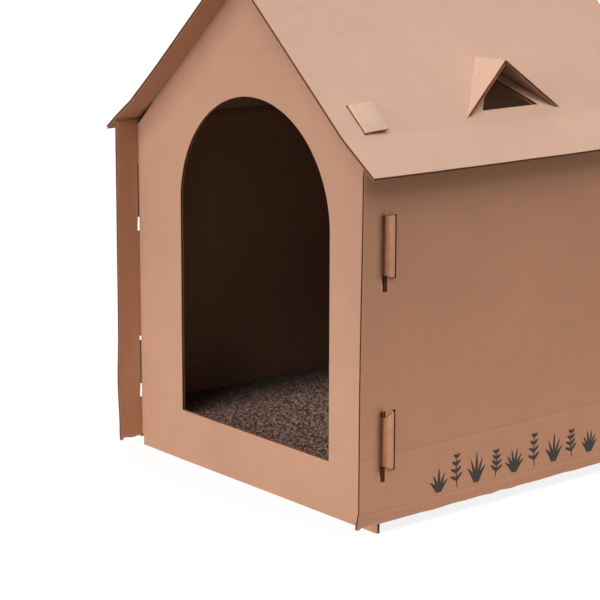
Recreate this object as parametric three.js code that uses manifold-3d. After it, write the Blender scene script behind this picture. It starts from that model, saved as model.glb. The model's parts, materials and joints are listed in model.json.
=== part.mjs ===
// Cardboard cat house: slotted boards with an arched doorway, a folded roof and a small gabled dormer.
// Millimetres, +Z up. The doorway faces -Y, and the origin is on the ground under the middle of the house.

import * as THREE from 'three';
import { mergeVertices } from 'three/addons/utils/BufferGeometryUtils.js';
import Module from 'manifold-3d';

const wasm = await Module();
wasm.setup();

const { degToRad } = THREE.MathUtils;

// Board and fits
const boardThickness = 3;
const crushedThickness = 2; // a tab, its flutes pressed flat
const seatGap = 0.3; // between boards that bear on each other
const slotPlay = 0.4; // on each side of a board in its slot
const cutOverrun = 12; // how far a cutting shape stands past the board

// House
const houseWidth = 380; // over the outer faces of the side walls
const houseDepth = 440; // front edge to rear edge of walls and roof
const shoulderHeight = 340; // of the gable panels at the side walls
const panelRecess = 26.7; // gable panels behind the edges of the walls
const wallLift = 11.5; // walls above the ground
const footInset = 2.5; // gable panels narrower below the walls

// Roof
const roofPitch = degToRad(42);
const eaveFlare = degToRad(6.3); // how much flatter the roof is below its break
const eaveOverhang = 15; // past the outer face of the wall
const roofBreakShare = 0.872; // of a gable panel's half width

// Doorway
const doorWidth = 230;
const doorSill = 53;
const doorHeight = 331.5; // sill to crown
const archSegments = 40;

// Locking tabs through the side walls
const upperTabShare = 0.715; // lower end of the tab's neck, of the shoulder height
const lowerTabShare = 0.194;
const upperTabLength = 54;
const lowerTabLength = 45.5;
const upperHeadBelow = 3; // how far the head reaches past the neck
const lowerHeadBelow = 5.5;
const lowerHeadAbove = 4.8;
const slotLead = 2; // open slot in front of a tab
const slotDrop = 15; // open slot below a tab
const lowerSlotRise = 6; // open slot above a lower tab
const upperTabReach = 10.9; // hinge axis to the outer face of the tucked tip
const lowerTabReach = 12.4;
const wallTabBulge = 2.6; // crest above the hinge axis
const tipDepth = 2.4; // tip in its slot
const tipSwing = 1.5; // room for the tip as it swings out
const tabSegments = 8;

// Locking tabs through the roof
const roofTabWidth = 33; // along the slope
const roofTabReach = 25.3; // hinge axis to free end
const roofTabRaise = degToRad(4); // of the folded tab above the roof
const roofTabSetback = 1; // slot above the break in the roof
const slotNotch = 1.6; // slot past the upper end of the tab

// Dormer
const dormerWidth = 126;
const dormerPitch = degToRad(38);
const dormerLean = degToRad(15); // of its front, back from upright
const dormerSetback = 6; // front of the dormer above the break in the roof
const openingFrontMargin = 5; // dormer front to the opening in the roof
const openingValleyMargin = 13; // dormer valley to the opening
const tongueWidth = 20;
const tongueReach = 6; // dormer tongue below the roof board

// Floor
const floorHeight = 41.5; // top of the floor board
const floorSkirt = 20; // folded edge along each wall
const footShare = 0.8; // folded feet, of the floor's width
const carpetThickness = 6;
const carpetMargin = 2;

// Worked out from the sizes above
const wallOuterX = houseWidth / 2;
const wallInnerX = wallOuterX - boardThickness;
const panelHalfWidth = wallInnerX - seatGap;
const panelY = houseDepth / 2 - panelRecess - boardThickness / 2;
const gableApex = shoulderHeight + panelHalfWidth * Math.tan(roofPitch);
const ridgeHeight = gableApex + (seatGap + boardThickness) / Math.cos(roofPitch);
const breakX = panelHalfWidth * roofBreakShare;
const breakZ = ridgeHeight - breakX * Math.tan(roofPitch);
const eavePitch = roofPitch - eaveFlare;
const eaveX = wallOuterX + eaveOverhang;
const eaveZ = breakZ - (eaveX - breakX) * Math.tan(eavePitch);
const wallTop = eaveUnderside(wallOuterX) - seatGap / Math.cos(eavePitch);
const slotWidth = boardThickness + 2 * slotPlay;

const wallTabRows = [
  {
    name: 'upper',
    bottom: upperTabShare * shoulderHeight,
    length: upperTabLength,
    headBelow: upperHeadBelow,
    headAbove: 0,
    slotRise: seatGap,
    reach: upperTabReach,
  },
  {
    name: 'lower',
    bottom: lowerTabShare * shoulderHeight,
    length: lowerTabLength,
    headBelow: lowerHeadBelow,
    headAbove: lowerHeadAbove,
    slotRise: lowerSlotRise,
    reach: lowerTabReach,
  },
];

const sides = [
  { name: 'right', x: 1 },
  { name: 'left', x: -1 },
];

const ends = [
  { name: 'front', y: -1 },
  { name: 'back', y: 1 },
];

// Height of the roof's lower face under the flared eave
function eaveUnderside(x) {
  return breakZ - (x - breakX) * Math.tan(eavePitch) - boardThickness / Math.cos(eavePitch);
}

// A point on the upper slope: distance down the slope from the ridge, and offset square to the roof
function onSlope(distance, offset) {
  const x = distance * Math.cos(roofPitch) + offset * Math.sin(roofPitch);
  const z = ridgeHeight - distance * Math.sin(roofPitch) + offset * Math.cos(roofPitch);
  return new THREE.Vector2(x, z);
}

// Closed solids and back

function solidOf(geometry) {
  const bare = geometry.clone();
  bare.deleteAttribute('normal');
  bare.deleteAttribute('uv');
  const merged = mergeVertices(bare);
  const mesh = new wasm.Mesh({
    numProp: 3,
    vertProperties: new Float32Array(merged.attributes.position.array),
    triVerts: new Uint32Array(merged.index.array),
  });
  return new wasm.Manifold(mesh);
}

function geometryOf(solid) {
  const mesh = solid.getMesh();
  const geometry = new THREE.BufferGeometry();
  geometry.setAttribute('position', new THREE.BufferAttribute(mesh.vertProperties, 3));
  geometry.setIndex(new THREE.BufferAttribute(mesh.triVerts, 1));
  return geometry;
}

function extruded(shape, depth, segments) {
  const geometry = new THREE.ExtrudeGeometry(shape, { depth, bevelEnabled: false, curveSegments: segments });
  return geometry.translate(0, 0, -depth / 2);
}

// A shape drawn in X and Z, extruded along Y about the plane Y = 0
function acrossY(shape, depth, segments = 1) {
  return extruded(shape, depth, segments).rotateX(Math.PI / 2);
}

// A shape drawn in Y and Z, extruded along X about the plane X = 0
function acrossX(shape, depth, segments = 1) {
  return extruded(shape, depth, segments).rotateX(Math.PI / 2).rotateZ(Math.PI / 2);
}

function outline(points) {
  return new THREE.Shape(points.map(([a, b]) => new THREE.Vector2(a, b)));
}

function box(x0, x1, y0, y1, z0, z1) {
  const geometry = new THREE.BoxGeometry(Math.abs(x1 - x0), Math.abs(y1 - y0), Math.abs(z1 - z0));
  return geometry.translate((x0 + x1) / 2, (y0 + y1) / 2, (z0 + z1) / 2);
}

// Materials and the assembly

const house = new THREE.Group();

const finishes = {
  panelBoard: { color: 0xc89c80, roughness: 0.86 },
  wallBoard: { color: 0xb58a6e, roughness: 0.86 },
  roofBoard: { color: 0xd6ae96, roughness: 0.86 },
  floorBoard: { color: 0xb48a6c, roughness: 0.88 },
  carpet: { color: 0x6e5c52, roughness: 1 },
};

function addPiece(name, geometry, finish, parent = house) {
  const material = new THREE.MeshStandardMaterial({ ...finishes[finish], metalness: 0, flatShading: true });
  const piece = new THREE.Mesh(geometry, material);
  piece.name = name;
  parent.add(piece);
  return piece;
}

// Side walls, each with two pairs of slots near either end

function wallGeometry() {
  const halfThickness = boardThickness / 2;
  const cutX = halfThickness + cutOverrun;
  const halfDepth = houseDepth / 2;
  let board = solidOf(box(-halfThickness, halfThickness, -halfDepth, halfDepth, wallLift, wallTop));
  for (const end of ends) {
    for (const row of wallTabRows) {
      const top = row.bottom + row.length + row.slotRise;
      const panelSlot = [end.y * (panelY - slotWidth / 2), end.y * (panelY + halfThickness + slotLead)];
      board = board.subtract(solidOf(box(-cutX, cutX, ...panelSlot, row.bottom - slotDrop, top)));
      const tipFar = row.reach + tipSwing;
      const tipNear = row.reach - crushedThickness - seatGap;
      const tipSlot = [end.y * (panelY - tipFar), end.y * (panelY - tipNear)];
      const tipFoot = row.bottom - row.headBelow - slotPlay;
      board = board.subtract(solidOf(box(-cutX, cutX, ...tipSlot, tipFoot, top)));
    }
  }
  return geometryOf(board);
}

for (const side of sides) {
  const wall = addPiece(`${side.name}_wall`, wallGeometry(), 'wallBoard');
  wall.position.x = side.x * (wallOuterX - boardThickness / 2);
}

// Gable panels, with stubs through the walls and the roof

const roofTabLow = breakX / Math.cos(roofPitch) - roofTabSetback - slotPlay;
const roofTabHigh = roofTabLow - roofTabWidth;

function panelShape(hasDoorway) {
  const foot = -(seatGap + boardThickness);
  const footX = panelHalfWidth - footInset;
  const rightEdge = [[footX, 0], [footX, wallLift], [panelHalfWidth, wallLift]];
  for (const row of [...wallTabRows].reverse()) {
    rightEdge.push([panelHalfWidth, row.bottom], [wallOuterX, row.bottom]);
    rightEdge.push([wallOuterX, row.bottom + row.length], [panelHalfWidth, row.bottom + row.length]);
  }
  rightEdge.push([panelHalfWidth, shoulderHeight]);
  rightEdge.push(onSlope(roofTabLow, foot).toArray(), onSlope(roofTabLow, 0).toArray());
  rightEdge.push(onSlope(roofTabHigh, 0).toArray(), onSlope(roofTabHigh, foot).toArray());
  const leftEdge = rightEdge.map(([x, z]) => [-x, z]).reverse();
  const shape = outline([...rightEdge, [0, gableApex], ...leftEdge]);
  if (hasDoorway) {
    const radius = doorWidth / 2;
    const springZ = doorSill + doorHeight - radius;
    const doorway = new THREE.Path();
    doorway.moveTo(-radius, doorSill);
    doorway.lineTo(radius, doorSill);
    doorway.lineTo(radius, springZ);
    doorway.absarc(0, springZ, radius, 0, Math.PI, false);
    doorway.closePath();
    shape.holes.push(doorway);
  }
  return shape;
}

for (const end of ends) {
  const shape = panelShape(end.name === 'front');
  const panel = addPiece(`${end.name}_panel`, acrossY(shape, boardThickness, archSegments), 'panelBoard');
  panel.position.y = end.y * panelY;
}

// Dormer: a folded sheet laid on the right slope, with a tongue through the roof on either side

const dormerHalf = dormerWidth / 2;
const dormerFrontX = breakX - dormerSetback;
const dormerFootZ = ridgeHeight - dormerFrontX * Math.tan(roofPitch);
const dormerRidgeZ = dormerFootZ + dormerHalf * Math.tan(dormerPitch);
const dormerBackX = (ridgeHeight - dormerRidgeZ) / Math.tan(roofPitch);
const dormerRun = dormerFrontX - dormerBackX;
const tongueX = (dormerFrontX + dormerBackX) / 2;

// One slope of the dormer as an endless board, grown by play on both faces
function dormerLeaf(sign, fromX, toX, play) {
  const grow = play / Math.cos(dormerPitch);
  const drop = boardThickness / Math.cos(dormerPitch);
  const reach = dormerHalf + boardThickness + tongueReach + cutOverrun;
  const fall = reach * Math.tan(dormerPitch);
  const leaf = outline([
    [0, dormerRidgeZ + grow],
    [sign * reach, dormerRidgeZ + grow - fall],
    [sign * reach, dormerRidgeZ - grow - drop - fall],
    [0, dormerRidgeZ - grow - drop],
  ]);
  return solidOf(acrossX(leaf, toX - fromX).translate((fromX + toX) / 2, 0, 0));
}

// All that lies under a plane parallel to the right slope, offset square to it
function underSlope(offset) {
  const lift = offset / Math.cos(roofPitch);
  const farX = eaveX + cutOverrun;
  const low = -ridgeHeight;
  const block = outline([
    [0, low],
    [farX, low],
    [farX, ridgeHeight + lift - farX * Math.tan(roofPitch)],
    [0, ridgeHeight + lift],
  ]);
  return solidOf(acrossY(block, houseDepth));
}

// All that lies ahead of the dormer's front, which leans back
function aheadOfDormer() {
  const slant = Math.tan(dormerLean);
  const rise = dormerRidgeZ + cutOverrun - dormerFootZ;
  const farX = eaveX + cutOverrun;
  const block = outline([
    [dormerFrontX + cutOverrun * slant, dormerFootZ - cutOverrun],
    [farX, dormerFootZ - cutOverrun],
    [farX, dormerFootZ + rise],
    [dormerFrontX - rise * slant, dormerFootZ + rise],
  ]);
  return solidOf(acrossY(block, houseDepth));
}

function dormerGeometry() {
  const backX = dormerBackX - cutOverrun;
  let sheet = dormerLeaf(1, backX, dormerFrontX, 0).add(dormerLeaf(-1, backX, dormerFrontX, 0));
  sheet = sheet.subtract(underSlope(seatGap)).subtract(aheadOfDormer());
  for (const sign of [1, -1]) {
    const tongue = dormerLeaf(sign, tongueX - tongueWidth / 2, tongueX + tongueWidth / 2, 0);
    sheet = sheet.add(tongue.subtract(underSlope(-boardThickness - tongueReach)));
  }
  return geometryOf(sheet);
}

addPiece('dormer', dormerGeometry(), 'roofBoard');

// Roof: one sheet folded at the ridge, slotted for the tabs and open under the dormer

function roofProfile() {
  const middle = (roofPitch + eavePitch) / 2;
  const miter = boardThickness / Math.cos((roofPitch - eavePitch) / 2);
  const right = [
    [eaveX - boardThickness * Math.sin(eavePitch), eaveZ - boardThickness * Math.cos(eavePitch)],
    [eaveX, eaveZ],
    [breakX, breakZ],
  ];
  const innerBreak = [breakX - miter * Math.sin(middle), breakZ - miter * Math.cos(middle)];
  const left = right.map(([x, z]) => [-x, z]).reverse();
  const innerRidge = [0, ridgeHeight - boardThickness / Math.cos(roofPitch)];
  const innerLeft = [-innerBreak[0], innerBreak[1]];
  return outline([innerBreak, ...right, [0, ridgeHeight], ...left, innerLeft, innerRidge]);
}

function roofSlot(side, end) {
  const low = roofTabLow + slotPlay;
  const high = roofTabHigh - slotPlay - slotNotch;
  const middle = onSlope((low + high) / 2, -boardThickness / 2);
  const cutter = new THREE.BoxGeometry(low - high, slotWidth, boardThickness + cutOverrun);
  cutter.rotateY(side.x * roofPitch);
  cutter.translate(side.x * middle.x, end.y * panelY, middle.y);
  return solidOf(cutter);
}

function dormerOpening() {
  const slant = dormerHalf / dormerRun;
  const inset = openingValleyMargin * Math.hypot(1, slant);
  const frontX = dormerFrontX - openingFrontMargin;
  const apexX = dormerBackX + inset / slant;
  const halfWidth = (frontX - apexX) * slant;
  const shape = outline([[apexX, 0], [frontX, -halfWidth], [frontX, halfWidth]]);
  return solidOf(extruded(shape, 2 * ridgeHeight, 1));
}

function roofGeometry() {
  let sheet = solidOf(acrossY(roofProfile(), houseDepth));
  for (const side of sides) {
    for (const end of ends) {
      sheet = sheet.subtract(roofSlot(side, end));
    }
  }
  sheet = sheet.subtract(dormerOpening());
  for (const sign of [1, -1]) {
    const fromX = tongueX - tongueWidth / 2 - slotPlay;
    const toX = tongueX + tongueWidth / 2 + slotPlay;
    sheet = sheet.subtract(dormerLeaf(sign, fromX, toX, slotPlay));
  }
  return geometryOf(sheet);
}

addPiece('roof', roofGeometry(), 'roofBoard');

// Wall tabs: a crushed strip that leaves its panel's slot, bows out and tucks its tip into the next slot.
// Each is drawn about its hinge axis, out from the wall in X and towards the tip slot in Y.

function wallTabShape(outward, inward, reach) {
  const radius = crushedThickness / 2;
  const wallFace = -(seatGap + radius);
  const innerBulge = wallTabBulge - crushedThickness;
  const tipInner = reach - crushedThickness;
  const crestShare = 0.55;
  const shoulderShares = [0.3, 0.85];
  const crest = crestShare * reach;
  const rise = shoulderShares[0] * reach;
  const fall = shoulderShares[1] * reach;
  const innerFall = shoulderShares[1] * tipInner;
  const at = (out, along) => [outward * out, inward * along];
  const shape = new THREE.Shape();
  shape.moveTo(...at(0, -radius));
  shape.bezierCurveTo(...at(wallTabBulge, -radius), ...at(wallTabBulge, rise), ...at(wallTabBulge, crest));
  shape.bezierCurveTo(...at(wallTabBulge, fall), ...at(0, reach), ...at(wallFace, reach));
  shape.lineTo(...at(wallFace - tipDepth, reach));
  shape.lineTo(...at(wallFace - tipDepth, tipInner));
  shape.lineTo(...at(wallFace, tipInner));
  shape.bezierCurveTo(...at(0, tipInner), ...at(innerBulge, innerFall), ...at(innerBulge, crest));
  shape.bezierCurveTo(...at(innerBulge, rise), ...at(radius, radius), ...at(0, radius));
  shape.quadraticCurveTo(...at(-radius, radius), ...at(-radius, 0));
  shape.quadraticCurveTo(...at(-radius, -radius), ...at(0, -radius));
  return shape;
}

// Widens a strip from its neck at the hinge to its head at the tip
function spreadHead(strip, inward, row) {
  const places = strip.attributes.position;
  for (let i = 0; i < places.count; i += 1) {
    const share = (inward * places.getY(i)) / row.reach;
    const z = places.getZ(i);
    places.setZ(i, z + share * (z > 0 ? row.headAbove : -row.headBelow));
  }
  return strip;
}

const wallHingeX = wallOuterX + seatGap + crushedThickness / 2;

for (const end of ends) {
  for (const side of sides) {
    for (const row of wallTabRows) {
      const strip = extruded(wallTabShape(side.x, -end.y, row.reach), row.length, tabSegments);
      const board = spreadHead(strip, -end.y, row);
      const tab = addPiece(`${end.name}_${side.name}_${row.name}_tab`, board, 'panelBoard');
      tab.position.set(side.x * wallHingeX, end.y * panelY, row.bottom + row.length / 2);
    }
  }
}

// Roof tabs: a flap that leaves its slot and lies folded on the slope, its free end a little raised.
// Each is drawn about its hinge axis, which runs down the slope.

function roofTabShape(inward) {
  const half = crushedThickness / 2;
  const shape = new THREE.Shape();
  shape.moveTo(0, -half);
  shape.lineTo(inward * roofTabReach, -half);
  shape.lineTo(inward * roofTabReach, half);
  shape.lineTo(0, half);
  shape.absarc(0, 0, half, Math.PI / 2, -Math.PI / 2, inward > 0 ? false : true);
  return shape;
}

for (const end of ends) {
  for (const side of sides) {
    const hinge = onSlope((roofTabLow + roofTabHigh) / 2, seatGap + crushedThickness / 2);
    const slope = new THREE.Group();
    slope.position.set(side.x * hinge.x, end.y * panelY, hinge.y);
    slope.rotation.y = side.x * roofPitch;
    house.add(slope);
    const flap = acrossX(roofTabShape(-end.y), roofTabWidth, tabSegments);
    const tab = addPiece(`${end.name}_${side.name}_roof_tab`, flap, 'panelBoard', slope);
    tab.rotation.x = -end.y * roofTabRaise;
  }
}

// Raised floor: a sheet whose front and back edges are folded down as feet and its sides as skirts

const floorHalfX = wallInnerX - seatGap;
const floorHalfY = panelY - boardThickness / 2 - seatGap;

function floorGeometry() {
  const footHalfX = footShare * floorHalfX;
  const skirtHalfY = floorHalfY - boardThickness - slotPlay;
  let tray = solidOf(
    box(-floorHalfX, floorHalfX, -floorHalfY, floorHalfY, floorHeight - boardThickness, floorHeight)
  );
  for (const sign of [1, -1]) {
    const footY = [sign * floorHalfY, sign * (floorHalfY - boardThickness)];
    const skirtX = [sign * floorHalfX, sign * (floorHalfX - boardThickness)];
    tray = tray.add(solidOf(box(-footHalfX, footHalfX, ...footY, 0, floorHeight)));
    tray = tray.add(solidOf(box(...skirtX, -skirtHalfY, skirtHalfY, floorHeight - floorSkirt, floorHeight)));
  }
  return geometryOf(tray);
}

addPiece('floor_panel', floorGeometry(), 'floorBoard');

const carpetX = floorHalfX - carpetMargin;
const carpetY = floorHalfY - carpetMargin;
const carpetBox = box(-carpetX, carpetX, -carpetY, carpetY, floorHeight, floorHeight + carpetThickness);
addPiece('carpet_mat', carpetBox, 'carpet');

export default house;
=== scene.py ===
# Cardboard cat house: single-wall corrugated boards slotted together, with a carpet inside.
# Metres, +Z up. The doorway faces -Y, and the origin is on the ground under the middle of the house.

import json
import math
from collections import defaultdict

import bmesh
import bpy
from mathutils import Matrix, Vector, noise

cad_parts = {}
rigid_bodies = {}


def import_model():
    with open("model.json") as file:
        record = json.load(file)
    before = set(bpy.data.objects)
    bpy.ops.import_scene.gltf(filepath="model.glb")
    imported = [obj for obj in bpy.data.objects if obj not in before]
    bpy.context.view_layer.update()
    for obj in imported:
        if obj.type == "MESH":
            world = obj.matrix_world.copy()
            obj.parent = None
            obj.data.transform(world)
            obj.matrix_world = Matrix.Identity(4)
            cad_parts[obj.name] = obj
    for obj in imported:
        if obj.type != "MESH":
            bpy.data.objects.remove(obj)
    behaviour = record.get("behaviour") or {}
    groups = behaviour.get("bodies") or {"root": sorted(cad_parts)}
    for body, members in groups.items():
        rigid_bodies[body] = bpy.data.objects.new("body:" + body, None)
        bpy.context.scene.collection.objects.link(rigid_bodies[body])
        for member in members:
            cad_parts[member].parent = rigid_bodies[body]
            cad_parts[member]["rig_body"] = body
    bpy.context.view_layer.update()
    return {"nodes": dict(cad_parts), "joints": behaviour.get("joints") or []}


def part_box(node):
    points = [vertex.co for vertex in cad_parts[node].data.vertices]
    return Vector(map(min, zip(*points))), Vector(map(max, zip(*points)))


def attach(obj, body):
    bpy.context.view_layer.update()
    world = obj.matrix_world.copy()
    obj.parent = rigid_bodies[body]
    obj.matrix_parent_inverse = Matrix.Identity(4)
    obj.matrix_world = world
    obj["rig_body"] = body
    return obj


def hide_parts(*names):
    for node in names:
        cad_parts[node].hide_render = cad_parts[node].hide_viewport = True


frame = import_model()

MM = 0.001
X_AXIS = Vector((1, 0, 0))
Y_AXIS = Vector((0, 1, 0))
Z_AXIS = Vector((0, 0, 1))

# Corrugated board: two liners and a fluted paper between them
FLUTE_PITCH = 6.4 * MM
FLUTE_STEPS = 6
LINER = 0.35 * MM
MEDIUM = 0.28 * MM
GLUE = 0.02 * MM  # how deep a flute's crest sits in the liner
SKIN_DEPTH = 0.02 * MM  # liner below the face of the solid board
FLUTE_SETBACK = 2.2 * MM  # fluted paper behind the edges that run along the flutes
LIP = 0.38 * MM  # how much thicker the crushed liners are at such an edge
LIP_WIDTH = 1.2 * MM
FOLD_ROUNDING = 1.6 * MM
FOLD_SEGMENTS = 4
GRID_STEP = 2 * FLUTE_PITCH
FLUTE_GRID_STEP = 3 * GRID_STEP

# Limits for angles and sizes in a mesh
FOLD_ANGLE = math.radians(20)
FLAT_ANGLE = math.radians(0.5)
SMOOTH_ANGLE = math.radians(30)
EDGE_ANGLE = math.radians(50)
WELD = 0.001 * MM
SLIVER = 0.001 * MM * MM
LEAST_LEAN = 0.6
FACING = 0.9  # least part of a normal along the way that a face looks
SLOPE_FACING = 0.7
END_FACING = 0.1

# Sizes taken from the frame
wall_low, wall_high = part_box("right_wall")
panel_low, panel_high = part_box("front_panel")
roof_low, roof_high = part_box("roof")
carpet_low, carpet_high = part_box("carpet_mat")
tab_boxes = {name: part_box(f"front_right_{name}_tab") for name in ("upper", "lower")}
BOARD = panel_high.y - panel_low.y
PANEL_FACE_Y = panel_low.y
PANEL_BACK_Y = abs(panel_high.y)
FOLD_Y = abs(panel_low.y + panel_high.y) / 2  # from the middle of the house to the tabs' folds
STUB_X = 186.8 * MM
WALL_FRONT_Y = wall_low.y
WALL_FOOT = wall_low.z
WALL_TOP = wall_high.z
WALL_FACE_X = wall_high.x
TAB_ROWS = [(low.z, high.z) for low, high in tab_boxes.values()]

# Creases in the side walls, from the ground; 1 is the right side and -1 the left
LOW_CREASE = 75 * MM
HEM_CREASE = 23 * MM
TOP_CREASE = {1: 333 * MM, -1: 337.5 * MM}
CREASE_HALF = 1.4 * MM
CREASE_DENT = 0.35 * MM

# Wall in front of its slots, pulled in by the tabs
SLOT_LIP_Y = 195.3 * MM
SLOT_DENT = {1: 2.3 * MM, -1: 0.8 * MM}
SLOT_DENT_WIDTH = 10 * MM
SLOT_DENT_BACK = 1 * MM  # how far behind the lip the dent begins
DENT_OUTER = 6 * MM
DENT_INNER = 3 * MM

# Side walls, bowed and bent in use
BELLY = 0.8 * MM
BELLY_HALF = 200 * MM
BELLY_Z = 180 * MM
BELLY_SPREAD = 120 * MM
HEM_TUCK = 0.78 * MM
BRIM_FLARE = 1.1 * MM
LEAN = {1: 2.3 * MM, -1: -1 * MM}
LEAN_START = {1: 130 * MM, -1: 150 * MM}
LEAN_END = 340 * MM
BULGE = {1: 0, -1: 2.6 * MM}
BULGE_Z = 72 * MM
BULGE_SPREAD = 34 * MM
CORNER_TURN = {1: -2.6 * MM, -1: 1 * MM}
CORNER_TOP = 28 * MM
RISE = {1: 0, -1: 1.5 * MM}
RISE_START = 330 * MM
FRAY_HEIGHT = 6 * MM
FRAY = 1.2 * MM
FRAY_SCALE = 90
FRAY_ROW = 3  # where in the noise the foot of the right wall is
FOOT_DROP = {1: 0, -1: 1.1 * MM}
RIGHT_TIP = 2.4 * MM
RIGHT_TIP_IN = 1 * MM
RIGHT_TIP_SPREAD = 3 * MM
LEFT_TIP = 3 * MM
LEFT_TIP_IN = 1.3 * MM
LEFT_TIP_SPREAD = 1.6 * MM
LEFT_STEP_SPREAD = 2 * MM

# Gable panels, wavy between their fixed edges
PANEL_WAVE = 0.7 * MM
PANEL_WAVE_SCALE = 7
PANEL_WAVE_ROW = 5
PANEL_FREE = (187 * MM, 150 * MM)
SHOULDER_DROP = 1.2 * MM
SHOULDER_X = (-160 * MM, -186 * MM)
SHOULDER_Z = (300 * MM, 340 * MM)

# Roof sheet, sagging between the gables
ROOF_SAG = 0.9 * MM
SAG_X = (20 * MM, 90 * MM)
ROOF_SETTLE = 0.4 * MM
ROOF_WAVER = 0.4 * MM
WAVER_ROW = 2
WAVER_SCALE_X = 5
WAVER_SCALE_Y = 9
FREE_EDGE_X = (160 * MM, 205 * MM)
EDGE_WAVER = 0.5 * MM
EDGE_WAVER_ROW = 7
EDGE_WAVER_SCALE = 22
EDGE_WAVER_X = 3
LEFT_LIFT = 2.6 * MM
LEFT_LIFT_X = (-110 * MM, -185 * MM)
LEFT_TIP_SAG = 0.7 * MM
LIFT_LINES = (164, 205, 4)  # first, end and step in mm


def smooth_step(start, end, value):
    t = min(max((value - start) / (end - start), 0), 1)
    return t * t * (3 - 2 * t)


def hump(value, centre, spread):
    return math.exp(-((value - centre) / spread) ** 2)


def steps(low, high, step, extra=()):
    """Sorted places from low to high, on multiples of a step, with extra ones added."""
    first = math.ceil(low / step)
    last = math.floor(high / step)
    places = {round(k * step, 6) for k in range(first, last + 1)}
    return sorted(places | {round(place, 6) for place in extra})


def placed(name, data):
    """A new object in the scene, at the origin."""
    piece = bpy.data.objects.new(name, data)
    bpy.context.scene.collection.objects.link(piece)
    return piece


# Shader sockets as values


EVEN = 0.5  # middle of a noise or a shade


class Value:
    """A shader socket that can be added to, taken from and multiplied by others."""

    def __init__(self, finish, socket):
        self.finish = finish
        self.socket = socket

    def _math(self, operation, first, second):
        return self.finish.node("ShaderNodeMath", {"operation": operation}, {0: first, 1: second})

    def __add__(self, other):
        return self._math("ADD", self, other)

    def __sub__(self, other):
        return self._math("SUBTRACT", self, other)

    def __rsub__(self, other):
        return self._math("SUBTRACT", other, self)

    def __mul__(self, other):
        return self._math("MULTIPLY", self, other)

    def sine(self):
        return self._math("SINE", self, 0)

    def size(self):
        return self._math("ABSOLUTE", self, 0)

    def swing(self):
        """A noise from -0.5 to 0.5 instead of from 0 to 1."""
        return self - EVEN


class Finish:
    """A material made of nodes."""

    def __init__(self, name):
        self.material = bpy.data.materials.new(name)
        self.material.use_nodes = True
        self.tree = self.material.node_tree
        self.tree.nodes.clear()

    def node(self, kind, settings=None, values=None, output=0):
        """Adds a node, sets it up, fills its sockets and gives one of its outputs as a Value."""
        node = self.tree.nodes.new(kind)
        for key, setting in (settings or {}).items():
            setattr(node, key, setting)
        for key, value in (values or {}).items():
            self._fill(self._socket(node.inputs, key), value)
        return Value(self, self._socket(node.outputs, output)) if len(node.outputs) else None

    def _socket(self, sockets, key):
        if isinstance(key, int):
            return sockets[key]
        return next(s for s in sockets if s.name == key and s.enabled)

    def _fill(self, socket, value):
        if isinstance(value, Value):
            self.tree.links.new(value.socket, socket)
        elif isinstance(value, Colour):
            socket.default_value = (*value.linear, 1)
        else:
            socket.default_value = value

    def place(self):
        """The point of the surface in the object's own space."""
        return self.node("ShaderNodeTexCoord", output="Object")

    def scaled(self, point, scale):
        return self.node("ShaderNodeMapping", {}, {"Vector": point, "Scale": scale})

    def noise(self, point, scale, detail=2, roughness=0.5):
        values = {"Vector": point, "Scale": scale, "Detail": detail, "Roughness": roughness}
        return self.node("ShaderNodeTexNoise", {}, values, "Fac")

    def along(self, point, direction):
        """Distance of a point along a direction."""
        settings = {"operation": "DOT_PRODUCT"}
        return self.node("ShaderNodeVectorMath", settings, {0: point, 1: tuple(direction)}, "Value")

    def ranged(self, value, low, high, start=0, end=1):
        settings = {"clamp": True}
        values = {"Value": value, 1: low, 2: high, 3: start, 4: end}
        return self.node("ShaderNodeMapRange", settings, values)

    def mix(self, factor, first, second):
        values = {"Factor": factor, "A": first, "B": second}
        return self.node("ShaderNodeMix", {"data_type": "RGBA"}, values, "Result")

    def toned(self, shade, tone, reach):
        """A tone made darker or lighter by a shade, within a reach of two factors."""
        return self.mix(shade, *(tone.times(factor) for factor in reach))

    def bump(self, height, distance):
        return self.node("ShaderNodeBump", {}, {"Height": height, "Distance": distance, "Strength": 1})

    def surface(self, colour, roughness, normal=None):
        values = {"Base Color": colour, "Roughness": roughness}
        if normal is not None:
            values["Normal"] = normal
        shader = self.node("ShaderNodeBsdfPrincipled", {}, values)
        self.node("ShaderNodeOutputMaterial", {}, {"Surface": shader})
        return self.material


class Colour:
    """A colour written in sRGB, from 0 to 255."""

    def __init__(self, red, green, blue):
        self.srgb = (red, green, blue)
        self.linear = tuple(self._linear(part / 255) for part in self.srgb)

    @staticmethod
    def _linear(part):
        return part / 12.92 if part <= 0.04045 else ((part + 0.055) / 1.055) ** 2.4

    def times(self, factor):
        return Colour(*(min(part * factor, 255) for part in self.srgb))


# Board and tab tones are painted lighter or darker by the light each gets: the roof and the tabs
# lighter, the walls darker and more saturated, as lit and shaded copies of one kraft
PANEL_KRAFT = Colour(205, 155, 127)
WALL_KRAFT = Colour(194, 140, 108)
ROOF_KRAFT = Colour(208, 168, 145)
KRAFT_INSIDE = Colour(187, 135, 101)
# Painted shade on the inner liner inside the room between the panels
ROOM_SHADE_KRAFT = Colour(142, 104, 80)
FLUTE_PAPER = Colour(150, 84, 44)
CUT_PAPER = Colour(178, 130, 100)
# Painted shade on the panels' stubs inside the walls' slots
STUB_SHADE_KRAFT = Colour(100, 56, 32)
# Painted shade on the walls in front of their slots
SLOT_SHADE_KRAFT = Colour(122, 72, 44)
# Painted shade at the fold of the wall tabs, where they sit recessed in their slots
FOLD_SHADE_KRAFT = Colour(164, 106, 70)
WALL_TAB_KRAFT = Colour(218, 159, 122)
ROOF_TAB_KRAFT = Colour(218, 180, 156)
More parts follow.
